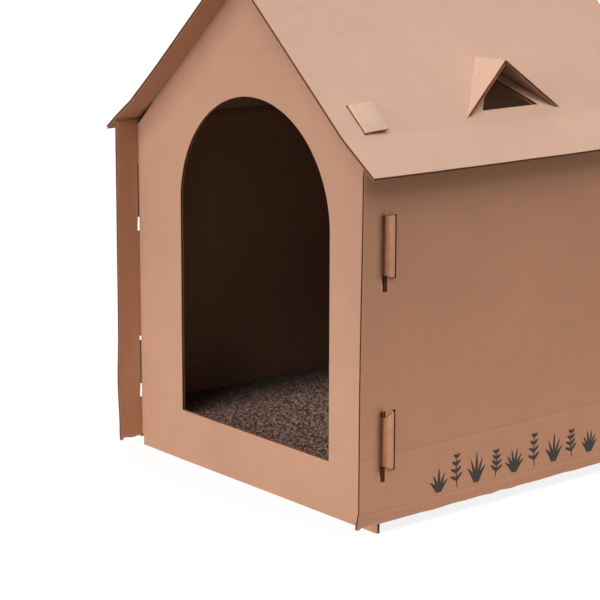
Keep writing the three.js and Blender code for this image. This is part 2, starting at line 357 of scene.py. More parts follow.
# Dark open flutes and painted shade of the gap under a roof tab's raised end
TAB_EDGE = Colour(84, 40, 20)
SPECK = Colour(120, 84, 60)
FRESH_INK = Colour(34, 27, 24)
WORN_INK = Colour(74, 56, 46)
CARPET_BACK = Colour(88, 72, 62)
PILE_LOW = Colour(100, 75, 65)
PILE_HIGH = Colour(192, 156, 139)
# Painted shadow on the pile along the side walls
PILE_SHADOW = Colour(48, 35, 30)

# Noises: scales are per metre, and the middle part is where most of their values lie
MIDDLE_PART = (0.3, 0.7)
FINE_DETAIL = 3
CLOUD_DETAIL = 4
SPECK_DETAIL = 1
CLOUD_ROUGHNESS = 0.6

# Liner paper: reach of its tones, and each noise's scale and its share in the shade and the relief
LINER_TONES = (0.93, 1.05)
ROOM_SHADE_TONES = (0.9, 1.08)
LINER_ROUGHNESS = (0.78, 0.9)
LINER_RELIEF = 0.09 * MM
FLUTE_BEND_SCALE = 18
FLUTE_BEND = 1.6
FADING_SCALE = 9
FADING = (0.25, 1)
FLUTE_SHADE = 0.045
FLUTE_RELIEF = 0.25
FIBRE_SCALE = 1500
FIBRE_STRETCH = 0.85
FIBRE_SHADE = 0.5
FIBRE_RELIEF = 0.5
CLOUD_SCALE = 38
CLOUD_SHADE = 0.7
CLOUD_RELIEF = 0.8
PATCH_SCALE = 5.5
PATCH_SHADE = 0.9
SPECK_SCALE = 950
SPECK_LEVEL = (0.7, 0.76)
SPECK_SHARE = 0.35
STUB_FADE = 0.5 * MM
LEFT_STUB_SHARE = 0.55

# Painted shade on the walls in front of their slots
SLOT_SHADE_SHARE = 0.8
SLOT_SHADE_WIDTH = 11 * MM
SLOT_SHADE_EDGE = (2.5 * MM, 2 * MM)  # where it fades in behind the lip
SLOT_SHADE_LOW = (-5 * MM, 3 * MM)
SLOT_SHADE_HIGH = (7 * MM, -2 * MM)

# Bare paper
BARE_TONES = (0.78, 1.14)
BARE_ROUGHNESS = (0.84, 0.96)
BARE_FIBRE_SCALE = 1400
BARE_FIBRE_ROUGHNESS = 0.7
BARE_FIBRE_SHADE = 1.2
BARE_CLOUD_SCALE = 160
BARE_CLOUD_SHADE = 0.9
FLUTE_PAPER_RELIEF = 0.05 * MM
CUT_PAPER_RELIEF = 0.08 * MM


def slot_shade(finish, point):
    """How much painted shade darkens the wall in front of the slots, where the tabs pull it in and dent
    it.
    """
    from_middle = finish.along(point, Y_AXIS).size()
    near = finish.ranged(from_middle, SLOT_LIP_Y + SLOT_SHADE_WIDTH, SLOT_LIP_Y)
    ahead = finish.ranged(from_middle, *(SLOT_LIP_Y - edge for edge in SLOT_SHADE_EDGE))
    height = finish.along(point, Z_AXIS)
    rows = [
        finish.ranged(height, *(low + edge for edge in SLOT_SHADE_LOW))
        * finish.ranged(height, *(high + edge for edge in SLOT_SHADE_HIGH))
        for low, high in TAB_ROWS
    ]
    return near * near * ahead * (rows[0] + rows[1])


def stub_shade(finish, point):
    """How much painted shade a panel has on its stubs, where it enters the walls' slots."""
    from_middle = finish.along(point, X_AXIS)
    right = finish.ranged(from_middle, STUB_X, STUB_X + STUB_FADE)
    left = finish.ranged(from_middle, -STUB_X, -STUB_X - STUB_FADE)
    return right + left * LEFT_STUB_SHARE


def liner_finish(name, tone, across, room_shade_tone=None, stub_tone=None, wear_tone=None):
    """Kraft paper over flutes side by side along a direction.

    Painted shade may darken the room between the panels, the stubs in the walls' slots and the walls in
    front of their slots.
    """
    finish = Finish(name)
    point = finish.place()
    stretch = tuple(1 - FIBRE_STRETCH * abs(part) for part in across)
    turns = finish.along(point, across) * (2 * math.pi / FLUTE_PITCH)
    bend = finish.noise(point, FLUTE_BEND_SCALE)
    fading = finish.ranged(finish.noise(point, FADING_SCALE), *MIDDLE_PART, *FADING)
    flutes = (turns + bend * FLUTE_BEND).sine() * fading
    stretched = finish.scaled(point, stretch)
    fibres = finish.noise(stretched, FIBRE_SCALE, FINE_DETAIL, CLOUD_ROUGHNESS).swing()
    cloud = finish.noise(point, CLOUD_SCALE, CLOUD_DETAIL, CLOUD_ROUGHNESS)
    patches = finish.noise(point, PATCH_SCALE).swing()
    specks = finish.ranged(finish.noise(point, SPECK_SCALE, SPECK_DETAIL), *SPECK_LEVEL)
    shade = cloud.swing() * CLOUD_SHADE + patches * PATCH_SHADE + fibres * FIBRE_SHADE
    shade = shade + flutes * FLUTE_SHADE + EVEN
    paper = finish.toned(shade, tone, LINER_TONES)
    # Painted shade on the inner liner inside the room between the panels
    if room_shade_tone:
        from_middle = finish.along(point, Y_AXIS).size()
        outside = finish.ranged(from_middle, PANEL_BACK_Y, PANEL_BACK_Y + BOARD)
        paper = finish.mix(outside, finish.toned(shade, room_shade_tone, ROOM_SHADE_TONES), paper)
    # Painted shade on the panels' stubs inside the walls' slots
    if stub_tone:
        paper = finish.mix(stub_shade(finish, point), paper, stub_tone)
    # Painted shade on the walls in front of their slots
    if wear_tone:
        paper = finish.mix(slot_shade(finish, point) * SLOT_SHADE_SHARE, paper, wear_tone)
    colour = finish.mix(specks * SPECK_SHARE, paper, SPECK)
    roughness = finish.ranged(cloud, *MIDDLE_PART, *LINER_ROUGHNESS)
    height = flutes * FLUTE_RELIEF + fibres * FIBRE_RELIEF + cloud.swing() * CLOUD_RELIEF
    return finish.surface(colour, roughness, finish.bump(height, LINER_RELIEF))


def paper_finish(name, tone, relief):
    """Bare rough paper, as on the flutes and the cut edges."""
    finish = Finish(name)
    point = finish.place()
    fibres = finish.noise(point, BARE_FIBRE_SCALE, FINE_DETAIL, BARE_FIBRE_ROUGHNESS)
    cloud = finish.noise(point, BARE_CLOUD_SCALE, FINE_DETAIL, CLOUD_ROUGHNESS)
    shade = fibres.swing() * BARE_FIBRE_SHADE + cloud.swing() * BARE_CLOUD_SHADE + EVEN
    colour = finish.toned(shade, tone, BARE_TONES)
    roughness = finish.ranged(fibres, *MIDDLE_PART, *BARE_ROUGHNESS)
    return finish.surface(colour, roughness, finish.bump(fibres, relief))


def board_finishes(name, tone, across):
    """Finishes of a board's face, back, fluted paper and cut edges."""
    face_tones = {}
    # Painted shade on the panels' stubs inside the walls' slots
    if "panel" in name:
        face_tones["stub_tone"] = STUB_SHADE_KRAFT
    # Painted shade on the walls in front of their slots
    if "wall" in name:
        face_tones["wear_tone"] = SLOT_SHADE_KRAFT
    return [
        liner_finish(f"{name}_kraft_face", tone, across, **face_tones),
        liner_finish(f"{name}_kraft_back", KRAFT_INSIDE, across, ROOM_SHADE_KRAFT),
        flute_paper,
        cut_paper,
    ]


flute_paper = paper_finish("flute_paper", FLUTE_PAPER, FLUTE_PAPER_RELIEF)
cut_paper = paper_finish("cut_paper", CUT_PAPER, CUT_PAPER_RELIEF)

FACE, BACK, FLUTE, CUT = range(4)


# Corrugated boards, built from the faces of the solid ones


def cut_along(mesh, faces, direction, places):
    """Cuts faces along parallel planes, the middle one first."""
    if not places or not faces:
        return
    middle = len(places) // 2
    place = places[middle]
    parts = set(faces)
    for face in faces:
        parts.update(face.edges)
        parts.update(face.verts)
    settings = dict(plane_co=direction * place, plane_no=direction, dist=WELD)
    cut = bmesh.ops.bisect_plane(mesh, geom=list(parts), **settings)["geom"]
    pieces = [part for part in cut if isinstance(part, bmesh.types.BMFace)]
    near = [face for face in pieces if face.calc_center_median().dot(direction) < place]
    far = [face for face in pieces if face.calc_center_median().dot(direction) >= place]
    cut_along(mesh, near, direction, places[:middle])
    cut_along(mesh, far, direction, places[middle + 1:])


def pull_back(mesh, across, setback):
    """Moves the edges that run along the flutes back into the board.

    A point between edges that would move it opposite ways stays in place.
    """
    parts = defaultdict(list)
    for edge in mesh.edges:
        if edge.is_boundary:
            loop = edge.link_loops[0]
            ahead = (loop.link_loop_next.vert.co - loop.vert.co).normalized()
            part = ahead.cross(loop.face.normal).dot(across)
            for vert in edge.verts:
                parts[vert].append(part)
    for vert, moves in parts.items():
        if min(moves) * max(moves) >= 0:
            vert.co -= across * max(moves, key=abs) * setback(vert.co)


def round_folds(mesh, looks):
    """Rounds the folds of a skin and takes away what this leaves at their ends."""
    folds = [e for e in mesh.edges if len(e.link_faces) == 2 and e.calc_face_angle() > FOLD_ANGLE]
    if folds:
        settings = dict(offset=FOLD_ROUNDING, segments=FOLD_SEGMENTS, profile=0.5, affect="EDGES")
        bmesh.ops.bevel(mesh, geom=folds, **settings)
        mesh.normal_update()
        ends = [face for face in mesh.faces if not looks(face.normal)]
        bmesh.ops.delete(mesh, geom=ends, context="FACES")


def skin(node_name, looks, grid, across=None, setback=None):
    """The faces of a board that look one way, with rounded folds, cut into a grid."""
    mesh = bmesh.new()
    mesh.from_mesh(frame["nodes"][node_name].data)
    bmesh.ops.remove_doubles(mesh, verts=mesh.verts, dist=WELD)
    away = [face for face in mesh.faces if not looks(face.normal)]
    bmesh.ops.delete(mesh, geom=away, context="FACES")
    round_folds(mesh, looks)
    if setback:
        pull_back(mesh, across, setback)
        mesh.normal_update()
    seam = mesh.edges.layers.int.new("seam")
    for edge in mesh.edges:
        edge[seam] = len(edge.link_faces) == 2 and edge.calc_face_angle() < FLAT_ANGLE
    for direction, places in grid:
        cut_along(mesh, mesh.faces[:], direction, places)
    seams = [edge for edge in mesh.edges if edge[seam] and len(edge.link_faces) == 2]
    bmesh.ops.dissolve_edges(mesh, edges=seams, use_verts=False)
    bmesh.ops.dissolve_degenerate(mesh, edges=mesh.edges, dist=WELD)
    mesh.normal_update()
    mesh.verts.index_update()
    return mesh


def inward(vert):
    """The move from a point of a skin that goes one unit deep below all the faces round it."""
    faces = [face for face in vert.link_faces if face.calc_area() > SLIVER]
    if not faces:
        return Vector()
    main = max(faces, key=lambda face: face.calc_area()).normal
    normals = [face.normal for face in faces if face.normal.dot(main) > 0]
    middle = sum(normals, Vector()).normalized()
    return -middle / max(min(middle.dot(normal) for normal in normals), LEAST_LEAN)


def closed_sheet(mesh, top, bottom, inner_material, outer_material):
    """Points, faces and materials of a sheet between two depths under a skin."""
    count = len(mesh.verts)
    moves = [inward(vert) for vert in mesh.verts]
    points = []
    for depth in (top, bottom):
        points.extend(vert.co + move * depth(vert.co) for vert, move in zip(mesh.verts, moves))
    faces = []
    for face in mesh.faces:
        ring = [vert.index for vert in face.verts]
        faces.append((ring, outer_material))
        faces.append(([count + index for index in reversed(ring)], inner_material))
    for edge in mesh.edges:
        if edge.is_boundary:
            loop = edge.link_loops[0]
            start = loop.vert.index
            end = loop.link_loop_next.vert.index
            faces.append(([end, start, count + start, count + end], CUT))
    return points, faces


def level(depth):
    """The same depth at every point."""
    return lambda point: depth


def lipped(reach, axes):
    """Depth of a liner's inner side, deeper along the four edges of the board."""

    def depth(point):
        places = [point.dot(axis) for axis in axes]
        from_edge = min(min(place - low, high - place) for place, (low, high) in zip(places, reach))
        return SKIN_DEPTH + LINER + (LIP if from_edge < LIP_WIDTH + WELD else 0)

    return depth


def flute_depth(across, offset):
    """Depth of the fluted paper below the face, less or more by half its thickness."""
    swing = BOARD / 2 - SKIN_DEPTH - LINER - MEDIUM / 2 + GLUE

    def depth(point):
        turn = 2 * math.pi * point.dot(across) / FLUTE_PITCH
        return BOARD / 2 + swing * math.sin(turn) + offset

    return depth


def join_sheets(name, sheets, materials, settle):
    """One mesh object from several closed sheets, with every point moved by settle."""
    points = []
    faces = []
    for sheet_points, sheet_faces in sheets:
        base = len(points)
        points.extend(settle(point) for point in sheet_points)
        faces.extend(([base + index for index in ring], material) for ring, material in sheet_faces)
    data = bpy.data.meshes.new(name)
    data.from_pydata(points, [], [ring for ring, _ in faces])
    data.polygons.foreach_set("material_index", [material for _, material in faces])
    data.polygons.foreach_set("use_smooth", [True] * len(faces))
    for material in materials:
        data.materials.append(material)
    data.update()
    data.set_sharp_from_angle(angle=SMOOTH_ANGLE)
    return placed(name, data)


def even_setback(point):
    return FLUTE_SETBACK


def no_setback(point):
    return 0


def right_setback(point):
    """Fluted paper set back on the right slope and over the ridge."""
    return FLUTE_SETBACK if point.x > -2 * FOLD_ROUNDING else 0


def facing(axis, sign):
    """Tells the faces that look along an axis."""
    return lambda normal: normal.dot(axis) * sign > FACING


def sloping(ridge, sign):
    """Tells the faces of a folded sheet that look up, or down for -1, and not its ends."""
    return lambda normal: normal.z * sign > SLOPE_FACING and abs(normal.dot(ridge)) < END_FACING


def corrugated(node_name, tone, looks, across, along, settle, extra=((), ()), setback=even_setback):
    """A board of two liners and a fluted paper in the place of a solid one.

    looks tells the faces of its two sides, and extra holds more grid lines across and along the flutes.
    """
    low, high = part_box(node_name)
    reach = [sorted((low.dot(axis), high.dot(axis))) for axis in (across, along)]
    lips = [(low_end + LIP_WIDTH, high_end - LIP_WIDTH) for low_end, high_end in reach]
    wide = steps(*reach[0], GRID_STEP, (*extra[0], *lips[0]))
    tall = steps(*reach[1], GRID_STEP, (*extra[1], *lips[1]))
    fine = steps(*reach[0], FLUTE_PITCH / FLUTE_STEPS)
    liner_grid = [(across, wide), (along, tall)]
    flute_grid = [(along, steps(*reach[1], FLUTE_GRID_STEP, extra[1])), (across, fine)]
    face_skin, back_skin = (skin(node_name, side, liner_grid) for side in looks)
    flute_skin = skin(node_name, looks[0], flute_grid, across, setback)
    liner = (level(SKIN_DEPTH), lipped(reach, (across, along)))
    waves = [flute_depth(across, half) for half in (-MEDIUM / 2, MEDIUM / 2)]
    sheets = [
        closed_sheet(face_skin, *liner, FLUTE, FACE),
        closed_sheet(back_skin, *liner, FLUTE, BACK),
        closed_sheet(flute_skin, *waves, FLUTE, FLUTE),
    ]
    for mesh in (face_skin, back_skin, flute_skin):
        mesh.free()
    piece = join_sheets(f"{node_name}_board", sheets, board_finishes(node_name, tone, across), settle)
    body = frame["nodes"][node_name]["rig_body"]
    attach(piece, body)
    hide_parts(node_name)


def foot_drop(side, y):
    """How far the foot of a wall hangs down, most at its front corner and, on the left, by the panel."""
    if side > 0:
        tips = RIGHT_TIP * hump(y, WALL_FRONT_Y + RIGHT_TIP_IN, RIGHT_TIP_SPREAD)
    else:
        corner = hump(y, WALL_FRONT_Y + LEFT_TIP_IN, LEFT_TIP_SPREAD)
        tips = LEFT_TIP * (corner + hump(y, PANEL_FACE_Y, LEFT_STEP_SPREAD))
    return FOOT_DROP[side] + tips


def slot_dent(side, y, z):
    """How far a wall is drawn in at its slots."""
    from_lip = abs(y) - SLOT_LIP_Y
    if from_lip <= -SLOT_DENT_BACK:
        return 0
    by_tab = max(
        smooth_step(low - DENT_OUTER, low + DENT_INNER, z)
        * smooth_step(high + DENT_OUTER, high - DENT_INNER, z)
        for low, high in TAB_ROWS
    )
    return SLOT_DENT[side] * max(1 - from_lip / SLOT_DENT_WIDTH, 0) ** 2 * by_tab


def bowed(side, y, z):
    """How far a wall stands out from its flat shape."""
    proud = smooth_step(abs(PANEL_FACE_Y), abs(WALL_FRONT_Y), abs(y))
    belly = 0
    if abs(y) < BELLY_HALF:
        belly = BELLY * math.cos(math.pi * y / (2 * BELLY_HALF)) * hump(z, BELLY_Z, BELLY_SPREAD)
    hem = HEM_TUCK * smooth_step(HEM_CREASE, WALL_FOOT, z)
    brim = BRIM_FLARE * smooth_step(TOP_CREASE[side], WALL_TOP, z)
    lean = LEAN[side] * smooth_step(LEAN_START[side], LEAN_END, z)
    bulge = BULGE[side] * hump(z, BULGE_Z, BULGE_SPREAD)
    corner = CORNER_TURN[side] * smooth_step(CORNER_TOP, WALL_FOOT, z) if y < 0 else 0
    return belly - hem + brim + proud * (lean + bulge + corner) - slot_dent(side, y, z)


def settle_wall(side):
    """How a side wall has bowed and creased in use, as a move of each of its points."""
    creases = (LOW_CREASE, HEM_CREASE, TOP_CREASE[side])

    def settle(point):
        x, y, z = point
        dents = CREASE_DENT * sum(hump(z, crease, CREASE_HALF) for crease in creases)
        fray = noise.noise(Vector((y * FRAY_SCALE, side * FRAY_ROW, 0))) * FRAY
        ragged = smooth_step(WALL_FOOT + FRAY_HEIGHT, WALL_FOOT, z) * (fray - foot_drop(side, y))
        rise = RISE[side] * smooth_step(RISE_START, WALL_TOP, z)
        return Vector((x + side * (bowed(side, y, z) - dents), y, z + rise + ragged))

    return settle


def settle_panel(point):
    """A gable panel is a little wavy between its fixed edges."""
    x, y, z = point
    row = math.copysign(PANEL_WAVE_ROW, y)
    wave = noise.noise(Vector((x * PANEL_WAVE_SCALE, row, z * PANEL_WAVE_SCALE)))
    free = smooth_step(*PANEL_FREE, abs(x))
    drop = SHOULDER_DROP * smooth_step(*SHOULDER_X, x) * smooth_step(*SHOULDER_Z, z)
    return Vector((x, y + PANEL_WAVE * wave * free, z - drop))


def settle_roof(point):
    """The roof sheet sags a little between the gables, and its free edges waver."""
    x, y, z = point
    free = smooth_step(*FREE_EDGE_X, abs(x))
    waver = noise.noise(Vector((x * WAVER_SCALE_X, y * WAVER_SCALE_Y, WAVER_ROW)))
    edge = noise.noise(Vector((math.copysign(EDGE_WAVER_X, x), y * EDGE_WAVER_SCALE, EDGE_WAVER_ROW)))
    sag = ROOF_SAG * math.cos(math.pi * y / (2 * roof_high.y)) * smooth_step(*SAG_X, abs(x))
    lift = LEFT_LIFT * smooth_step(*LEFT_LIFT_X, x)
    tip = LEFT_TIP_SAG * smooth_step(-WALL_FACE_X, roof_low.x, x)
    z += ROOF_WAVER * waver * (1 - free) + EDGE_WAVER * edge * free
    z += lift - tip - sag - ROOF_SETTLE
    return Vector((x, min(max(y, roof_low.y), roof_high.y), min(z, roof_high.z)))


# Extra grid lines, by offsets in mm from the creases, the foot and the ends of a wall
crease_offsets = (-4, -2, -1, 0, 1, 2, 4)
foot_offsets = (0.6, 1.5, 3, 5)
end_offsets = (2, 3.5, 5, 7, 9, 14, 16, 18, 20, 22, 24, 28, 30)
all_creases = (LOW_CREASE, HEM_CREASE, *TOP_CREASE.values())
crease_lines = [crease + offset * MM for crease in all_creases for offset in crease_offsets]
foot_lines = [WALL_FOOT + offset * MM for offset in foot_offsets]
tab_lines = [
    end + offset for row in TAB_ROWS for end in row for offset in (-DENT_OUTER, -DENT_INNER, DENT_INNER)
]
end_lines = [sign * (wall_high.y - offset * MM) for sign in (-1, 1) for offset in end_offsets]
wall_lines = (end_lines, crease_lines + foot_lines + tab_lines)
lift_lines = ((), [-offset * MM for offset in range(*LIFT_LINES)])

for side, name, setback in ((1, "right_wall", even_setback), (-1, "left_wall", no_setback)):
    looks = (facing(X_AXIS, side), facing(X_AXIS, -side))
    corrugated(name, WALL_KRAFT, looks, Y_AXIS, Z_AXIS, settle_wall(side), wall_lines, setback)

for end, name in ((-1, "front_panel"), (1, "back_panel")):
    looks = (facing(Y_AXIS, end), facing(Y_AXIS, -end))
    corrugated(name, PANEL_KRAFT, looks, X_AXIS, Z_AXIS, settle_panel)

roof_looks = (sloping(Y_AXIS, 1), sloping(Y_AXIS, -1))
corrugated("roof", ROOF_KRAFT, roof_looks, Y_AXIS, X_AXIS, settle_roof, lift_lines, right_setback)

dormer_looks = (sloping(X_AXIS, 1), sloping(X_AXIS, -1))
corrugated("dormer", ROOF_KRAFT, dormer_looks, X_AXIS, Y_AXIS, settle_roof)


# Printed row of grass on the right wall


INK_LIFT = 0.09 * MM
LEAF_LIFT = 0.0005 * MM  # of each leaf over the one before
INK_WEAR_SCALE = 420
INK_WEAR_ROUGHNESS = 0.7
INK_WEAR_LEVEL = (0.45, 0.8)
INK_ROUGHNESS = 0.8
PRINT_FOOT = 27 * MM
BLADE_STEPS = 10
BLADE_WIDTH = 3.4 * MM
BLADE_FOOT_SHARE = 0.18  # of the half turn that makes a blade's outline
BLADE_FULLNESS = 0.8
TUFT_FOOT = 2.2 * MM
TUFT_DROOP = 0.38
STEM_WIDTH = 1.7 * MM
LEAF_PAIRS = 4
LEAF_LENGTH = 12 * MM
LEAF_SHORTENING = 1.6 * MM
LEAF_WIDTH = 3.2 * MM
LEAF_TURN = 0.75
LEAF_BEND = 0.5


def blade(foot, angle, length, width, bend):
    """A curved tapering leaf as pairs of points in the plane of the wall, from its foot to its tip."""
    pairs = []
    centre = Vector(foot)
    for k in range(BLADE_STEPS + 1):
        t = k / BLADE_STEPS
        turn = angle + bend * t
        ahead = Vector((math.sin(turn), math.cos(turn)))
        aside = Vector((ahead.y, -ahead.x))
        outline = math.pi * (BLADE_FOOT_SHARE + (1 - BLADE_FOOT_SHARE) * t)
        half = width / 2 * math.sin(outline) ** BLADE_FULLNESS if t < 1 else 0
        pairs.append((centre - aside * half, centre + aside * half))
        centre = centre + ahead * length / BLADE_STEPS
    return pairs


def tuft(place, spread, height, count):
    """Blades of grass that fan out from one foot."""
    leaves = []
    for k in range(count):
        side_share = 2 * k / (count - 1) - 1
        length = height * (1 - TUFT_DROOP * abs(side_share))
        foot = (place + side_share * TUFT_FOOT, PRINT_FOOT)
        leaves.append(blade(foot, side_share * spread / 2, length, BLADE_WIDTH, side_share * spread))
    return leaves


def sprig(place, height, lean):
    """A stem with pairs of small leaves."""
    leaves = [blade((place, PRINT_FOOT), -lean / 2, height, STEM_WIDTH, lean)]
    for k in range(1, LEAF_PAIRS + 1):
        t = k / (LEAF_PAIRS + 1)
        turn = -lean / 2 + lean * t / 2
        foot = (place + math.sin(turn) * height * t, PRINT_FOOT + math.cos(turn) * height * t)
        length = LEAF_LENGTH - LEAF_SHORTENING * k
        for sign in (-1, 1):
            leaves.append(blade(foot, turn + sign * LEAF_TURN, length, LEAF_WIDTH, sign * LEAF_BEND))
    return leaves


# Place in mm along the wall, then the kind of plant and its sizes
PLANTS = [
    (-122, tuft, (0.75, 24 * MM, 5)),
    (-98, sprig, (37 * MM, 0.35)),
    (-73, tuft, (0.6, 31 * MM, 5)),
    (-48, sprig, (30 * MM, -0.4)),
    (-22, tuft, (0.8, 26 * MM, 6)),
    (6, sprig, (38 * MM, 0.25)),
    (33, tuft, (0.65, 30 * MM, 5)),
    (59, sprig, (31 * MM, 0.45)),
    (84, tuft, (0.7, 25 * MM, 6)),
    (110, sprig, (35 * MM, -0.3)),
]


def ink():
    """Black ink, worn grey in spots."""
    finish = Finish("black_ink")
    worn = finish.noise(finish.place(), INK_WEAR_SCALE, FINE_DETAIL, INK_WEAR_ROUGHNESS)
    colour = finish.mix(finish.ranged(worn, *INK_WEAR_LEVEL), FRESH_INK, WORN_INK)
    return finish.surface(colour, INK_ROUGHNESS)


def printed_row():
    """Flat ink shapes on the outer face of the right wall."""
    leaves = [leaf for place, plant, sizes in PLANTS for leaf in plant(place * MM, *sizes)]
    settle = settle_wall(1)
    points = []
    faces = []
    for number, leaf in enumerate(leaves):
        face_x = WALL_FACE_X - SKIN_DEPTH + INK_LIFT + number * LEAF_LIFT
        for step, (left, right) in enumerate(leaf):
            points += [settle(Vector((face_x, *left))), settle(Vector((face_x, *right)))]
            if step:
                last = len(points) - 1
                faces.append((last - 3, last - 2, last, last - 1))
    data = bpy.data.meshes.new("printed_grass")
    data.from_pydata(points, [], faces)
    data.materials.append(ink())
    piece = placed("printed_grass", data)
    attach(piece, "house")
    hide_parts("right_wall")


printed_row()


# Locking tabs


TAB_PRESS = 0.42  # how much of its height a wall tab has lost
TAB_PULL = 0.4 * MM
TAB_FOLD_COVER = 0.25 * MM
TAB_FOLD_REACH = (3 * MM, -1 * MM)
TAB_SPREAD_SHARES = (0.4, 0.75)
TAB_CORNER = 2.2 * MM
TAB_CORNER_SHARES = (0.75, 1)
ROOF_FOLD_COVER = 0.25 * MM
ROOF_FOLD_REACH = (4 * MM, 0)
EDGE_ROUNDING = 0.4 * MM
EDGE_PROFILE = 0.6

# Pressed kraft: reach of its tones, how far the painted shade at the fold reaches, noises and their
# shares
TAB_TONES = (0.9, 1.07)
FOLD_SHADE_START = -0.8 * MM
FOLD_SHADE_END = 4 * MM
FOLD_SHADE_FRAY = 3 * MM
TAB_CLOUD_SCALE = 120
TAB_CLOUD_ROUGHNESS = 0.65
TAB_CLOUD_SHADE = 0.9
TAB_CLOUD_RELIEF = 1.5
TAB_FIBRE_SCALE = 1300
TAB_FIBRE_STRETCH = (1, 1, 0.25)
TAB_FIBRE_SHADE = 0.7
TAB_FIBRE_RELIEF = 0.4
TAB_RELIEF = 0.25 * MM
TAB_ROUGHNESS = 0.88
OPEN_EDGE_REACH = (1 * MM, 9 * MM)
OPEN_EDGE_ROUGHNESS = 0.92
DOWN_FACING = -0.5


def tab_kraft(name, fold_shade_tone, tone):
    """Pressed kraft, with painted shade at its fold when the fold tone is darker than its own."""
    finish = Finish(name)
    point = finish.place()
    cloud = finish.noise(point, TAB_CLOUD_SCALE, CLOUD_DETAIL, TAB_CLOUD_ROUGHNESS).swing()
    stretched = finish.scaled(point, TAB_FIBRE_STRETCH)
    fibres = finish.noise(stretched, TAB_FIBRE_SCALE, FINE_DETAIL, CLOUD_ROUGHNESS)
    from_fold = FOLD_Y - finish.along(point, Y_AXIS).size()
    part = finish.ranged(from_fold + cloud * FOLD_SHADE_FRAY, FOLD_SHADE_START, FOLD_SHADE_END)
    shade = cloud * TAB_CLOUD_SHADE + fibres.swing() * TAB_FIBRE_SHADE + EVEN
    colour = finish.mix(part, fold_shade_tone, finish.toned(shade, tone, TAB_TONES))
    height = cloud * TAB_CLOUD_RELIEF + fibres * TAB_FIBRE_RELIEF
    return finish.surface(colour, TAB_ROUGHNESS, finish.bump(height, TAB_RELIEF))


def roof_tab_edge(name):
    """The lower end of a roof tab, dark with its open flutes and with painted shade of the gap under its
    raised end, more so away from the fold.
    """
    finish = Finish(name)
    from_fold = FOLD_Y - finish.along(finish.place(), Y_AXIS).size()
    # Painted shade of the gap under the raised end, with the dark open flutes
    open_and_shaded = finish.ranged(from_fold, *OPEN_EDGE_REACH)
    return finish.surface(finish.mix(open_and_shaded, ROOF_TAB_KRAFT, TAB_EDGE), OPEN_EDGE_ROUGHNESS)


def fold_distance(vert):
    return FOLD_Y - abs(vert.co.y)


def settle_roof_tab(mesh):
    """Draws the fold of a roof tab over the front of its slot."""
    for vert in mesh.verts:
        cover = ROOF_FOLD_COVER * smooth_step(*ROOF_FOLD_REACH, fold_distance(vert))
        vert.co.y += math.copysign(cover, vert.co.y)


def settle_wall_tab(mesh):
    """Presses a wall tab flatter, draws its fold over its slot and gives its head rounded shoulders."""
    reach = max(fold_distance(vert) for vert in mesh.verts)
    neck = [vert.co.z for vert in mesh.verts if fold_distance(vert) < 0]
    low, high = min(neck), max(neck)
    head = max(vert.co.z for vert in mesh.verts if fold_distance(vert) > reach - WELD) - high
    for vert in mesh.verts:
        x, y, z = vert.co
        share = min(max(fold_distance(vert) / reach, 0), 1)
        above = z > (low + high) / 2
        spread = head * (smooth_step(*TAB_SPREAD_SHARES, share) - share) if above else 0
        corner = TAB_CORNER * smooth_step(*TAB_CORNER_SHARES, share) ** 2
        pressed = TAB_PRESS * max(abs(x) - WALL_FACE_X, 0)
        back = TAB_FOLD_COVER * smooth_step(*TAB_FOLD_REACH, fold_distance(vert)) + TAB_PULL * share
        vert.co.x -= math.copysign(pressed, x)
        vert.co.y += math.copysign(back, y)
        vert.co.z += spread - corner if above else corner


def tab_board(node_name, settle, finishes):
    """A tab of pressed board, its edges rounded over, in the place of its solid.

    finishes holds those of the tab and of the end that faces down the roof.
    """
    data = frame["nodes"][node_name].data.copy()
    data.name = f"{node_name}_strip"
    mesh = bmesh.new()
    mesh.from_mesh(data)
    bmesh.ops.remove_doubles(mesh, verts=mesh.verts, dist=WELD)
    bmesh.ops.dissolve_limit(mesh, angle_limit=FLAT_ANGLE, verts=mesh.verts, edges=mesh.edges)
    settle(mesh)
    sharp = [edge for edge in mesh.edges if edge.calc_face_angle() > EDGE_ANGLE]
    settings = dict(offset=EDGE_ROUNDING, segments=2, profile=EDGE_PROFILE, affect="EDGES")
    bmesh.ops.bevel(mesh, geom=sharp, **settings)
    mesh.to_mesh(data)
    mesh.free()
    data.materials.clear()
    for finish in finishes:
        data.materials.append(finish)
    for face in data.polygons:
        down_slope = face.normal.z < DOWN_FACING and face.normal.x * face.center.x > 0
        face.material_index = int(down_slope and len(finishes) > 1)
    data.polygons.foreach_set("use_smooth", [True] * len(data.polygons))
    data.set_sharp_from_angle(angle=SMOOTH_ANGLE)
    piece = placed(f"{node_name}_strip", data)
    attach(piece, frame["nodes"][node_name]["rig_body"])
    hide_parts(node_name)


# The wall tabs get painted shade at their folds
wall_tab_finishes = [tab_kraft("wall_tab_kraft", FOLD_SHADE_KRAFT, WALL_TAB_KRAFT)]
roof_tab_finishes = [
    tab_kraft("roof_tab_kraft", ROOF_TAB_KRAFT, ROOF_TAB_KRAFT),
    roof_tab_edge("roof_tab_edge"),
]
for joint in frame["joints"]:
    if "roof" in joint["child"]:
        tab_board(joint["child"], settle_roof_tab, roof_tab_finishes)
    else:
        tab_board(joint["child"], settle_wall_tab, wall_tab_finishes)


# Floor board


floor_node = frame["nodes"]["floor_panel"]
floor_node.data.materials.clear()
floor_node.data.materials.append(liner_finish("floor_kraft", KRAFT_INSIDE, Y_AXIS))


# Carpet: a backing with a looped pile


